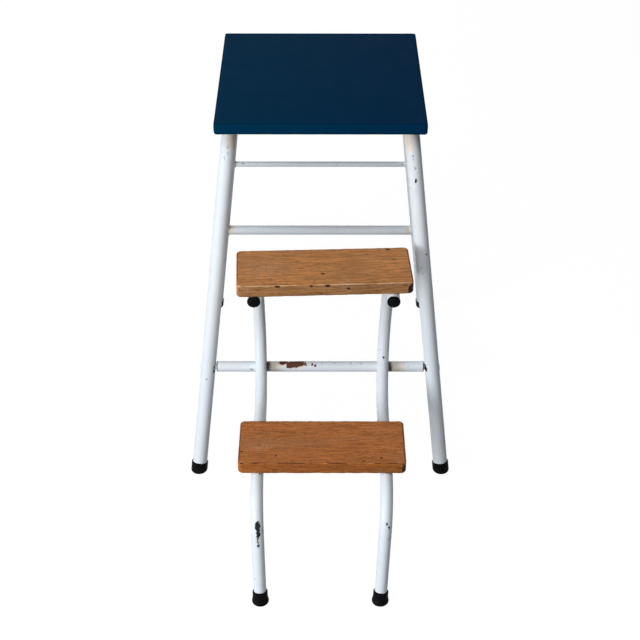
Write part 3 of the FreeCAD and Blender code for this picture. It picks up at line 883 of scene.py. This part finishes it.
def contact_ring(bar, tube, side, bead):
    """A ring in the crevice round the place where a side tube lies against the pivot bar."""
    low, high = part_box(bar)
    middle = (low + high) / 2
    bar_radius = (high.z - low.z) / 2
    bar_tree = surface_of(bar)
    tube_tree = surface_of(tube)
    best = None
    x = 0.0
    while abs(x) < high.x:
        axis_point = Vector((x, middle.y, middle.z))
        near, _, _, distance = tube_tree.find_nearest(axis_point)
        if best is None or distance < best[0]:
            best = (distance, axis_point, near)
        x += side * CONTACT_SEARCH_STEP
    direction = (best[2] - best[1]).normalized()
    direction.x = 0
    direction.normalize()
    centre = best[1] + direction * bar_radius
    first, second = square_axes(direction)
    ring = []
    for k in range(CONTACT_STEPS):
        angle = 2 * math.pi * k / CONTACT_STEPS
        outward = first * math.cos(angle) + second * math.sin(angle)
        near, far = 0.0, CREVICE_REACH
        for _ in range(REACH_HALVINGS):
            reach = (near + far) / 2
            down, up = -CREVICE_LIFT, CREVICE_LIFT
            for _ in range(LIFT_HALVINGS):
                lift = (down + up) / 2
                point = centre + outward * reach + direction * lift
                if bar_tree.find_nearest(point)[3] < tube_tree.find_nearest(point)[3]:
                    down = lift
                else:
                    up = lift
            if bar_tree.find_nearest(point)[3] < bead:
                near = reach
            else:
                far = reach
        ring.append(point)
    return ring


def weld_beads(finish):
    for side_name, side in (("left", -1), ("right", 1)):
        leg = "side_frame_" + side_name
        for bar in ("rear_crossbar", "rear_rod"):
            bead = BEAD_RADIUS if bar == "rear_crossbar" else ROD_BEAD_RADIUS
            ring = bar_end_ring(bar, leg, side)
            bead_along(f"weld_{bar}_{side_name}", ring, bead, finish, "stool_frame")
        ring = contact_ring("pivot_bar", "step_side_" + side_name, side, BEAD_RADIUS * BEAD_SEAT)
        bead_along(f"weld_pivot_bar_{side_name}", ring, BEAD_RADIUS, finish, "step_unit")


# Light: the world's even part, then each lamp's place, size and power, and whether it shows as a highlight
WORLD_SOFT = 0.08
LAMPS = {
    "key": ((-2.46, -1.86, 1.13), 1.3, 67.0, True),
    "front": ((-0.62, -2.90, 1.50), 2.0, 20.0, False),
    "top": ((-0.3, -1.5, 3.1), 2.2, 38.0, False),
    "rear": ((-0.9, 2.9, 1.4), 2.2, 24.0, False),
}
LAMP_TARGET = Vector((0, 0, 0.3))

# Floor: its width, how much of what the eye sees is glow and how strong that is, and what it sends back
FLOOR_SIZE = 12.0
FLOOR_GLOW = 0.90
GLOW_STRENGTH = 1.06
FLOOR_BOUNCE = 0.18


def seen_by_eye(tree):
    """1 for rays that should see the white backdrop: from the camera, mirrors and glass."""
    path = tree.nodes.new("ShaderNodeLightPath")
    total = path.outputs["Is Camera Ray"]
    for name in ("Is Glossy Ray", "Is Transmission Ray"):
        larger = tree.nodes.new("ShaderNodeMath")
        larger.operation = "MAXIMUM"
        tree.links.new(total, larger.inputs[0])
        tree.links.new(path.outputs[name], larger.inputs[1])
        total = larger.outputs[0]
    return total


def make_world():
    world = bpy.data.worlds.new("studio")
    bpy.context.scene.world = world
    world.use_nodes = True
    tree = world.node_tree
    output = tree.nodes["World Output"]
    soft = tree.nodes["Background"]
    soft.inputs["Strength"].default_value = WORLD_SOFT
    plain = tree.nodes.new("ShaderNodeBackground")
    plain.inputs["Color"].default_value = (1.0, 1.0, 1.0, 1.0)
    mix = tree.nodes.new("ShaderNodeMixShader")
    tree.links.new(seen_by_eye(tree), mix.inputs[0])
    tree.links.new(soft.outputs[0], mix.inputs[1])
    tree.links.new(plain.outputs[0], mix.inputs[2])
    tree.links.new(mix.outputs[0], output.inputs["Surface"])


def make_floor():
    mesh = bpy.data.meshes.new("floor")
    half = FLOOR_SIZE / 2
    corners = [(-half, -half, 0), (half, -half, 0), (half, half, 0), (-half, half, 0)]
    mesh.from_pydata(corners, [], [[0, 1, 2, 3]])
    floor = bpy.data.objects.new("floor", mesh)
    bpy.context.scene.collection.objects.link(floor)
    material = bpy.data.materials.new("pale floor")
    material.use_nodes = True
    tree = material.node_tree
    output = tree.nodes["Material Output"]
    tree.nodes.remove(tree.nodes["Principled BSDF"])
    bounce = tree.nodes.new("ShaderNodeBsdfDiffuse")
    bounce.inputs["Color"].default_value = (FLOOR_BOUNCE, FLOOR_BOUNCE, FLOOR_BOUNCE, 1)
    shaded = tree.nodes.new("ShaderNodeBsdfDiffuse")
    shaded.inputs["Color"].default_value = (1, 1, 1, 1)
    glow = tree.nodes.new("ShaderNodeEmission")
    glow.inputs["Strength"].default_value = GLOW_STRENGTH
    backdrop = tree.nodes.new("ShaderNodeMixShader")
    backdrop.inputs[0].default_value = FLOOR_GLOW
    tree.links.new(shaded.outputs[0], backdrop.inputs[1])
    tree.links.new(glow.outputs[0], backdrop.inputs[2])
    mix = tree.nodes.new("ShaderNodeMixShader")
    tree.links.new(seen_by_eye(tree), mix.inputs[0])
    tree.links.new(bounce.outputs[0], mix.inputs[1])
    tree.links.new(backdrop.outputs[0], mix.inputs[2])
    tree.links.new(mix.outputs[0], output.inputs["Surface"])
    mesh.materials.append(material)


def make_lamps():
    for name, (place, size, energy, shines) in LAMPS.items():
        data = bpy.data.lights.new(name, "AREA")
        data.size = size
        data.energy = energy
        lamp = bpy.data.objects.new(name, data)
        bpy.context.scene.collection.objects.link(lamp)
        lamp.location = place
        lamp.visible_glossy = shines
        lamp.visible_camera = False
        away = Vector(place) - LAMP_TARGET
        lamp.rotation_euler = away.to_track_quat("Z", "Y").to_euler()


def main():
    bpy.context.scene.view_settings.view_transform = "Standard"
    make_camera()
    finishes = make_finishes()
    dress_cad_nodes(finishes)
    seat_cushion(finishes["seat_vinyl"])
    for name, (_, _, turn) in TREAD_SIZES.items():
        worn_tread(name, wood_finish(name, turn))
    weld_beads(finishes["frame_paint"])
    make_world()
    make_floor()
    make_lamps()


main()
